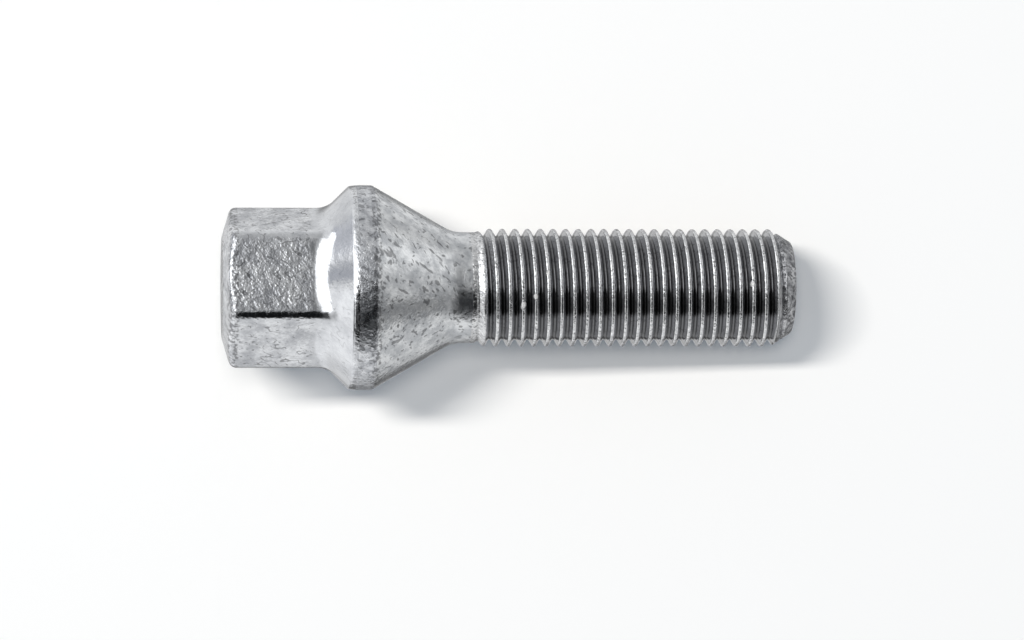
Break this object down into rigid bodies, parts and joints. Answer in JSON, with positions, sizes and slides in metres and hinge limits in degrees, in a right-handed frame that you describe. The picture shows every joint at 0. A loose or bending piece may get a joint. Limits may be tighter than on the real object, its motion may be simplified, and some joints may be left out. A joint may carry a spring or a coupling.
{
  "type": "wheel bolt",
  "caption": "Wheel bolt with a hexagonal head that flares into a round collar, a conical seat and a threaded shank.",
  "frame": {"origin": "centre of the head's flat end face, on which the bolt stands", "axes": "+Z along the bolt's axis from the head to the tip; two of the hexagon's flats face -Y and +Y"},
  "size_m": [0.024, 0.024, 0.067],
  "materials": {
    "zinc_plate": "zinc plated steel, dull and slightly scratched"
  },
  "bodies": {
    "root": {"wheel_bolt": "zinc_plate"}
  },
  "joints": []
}
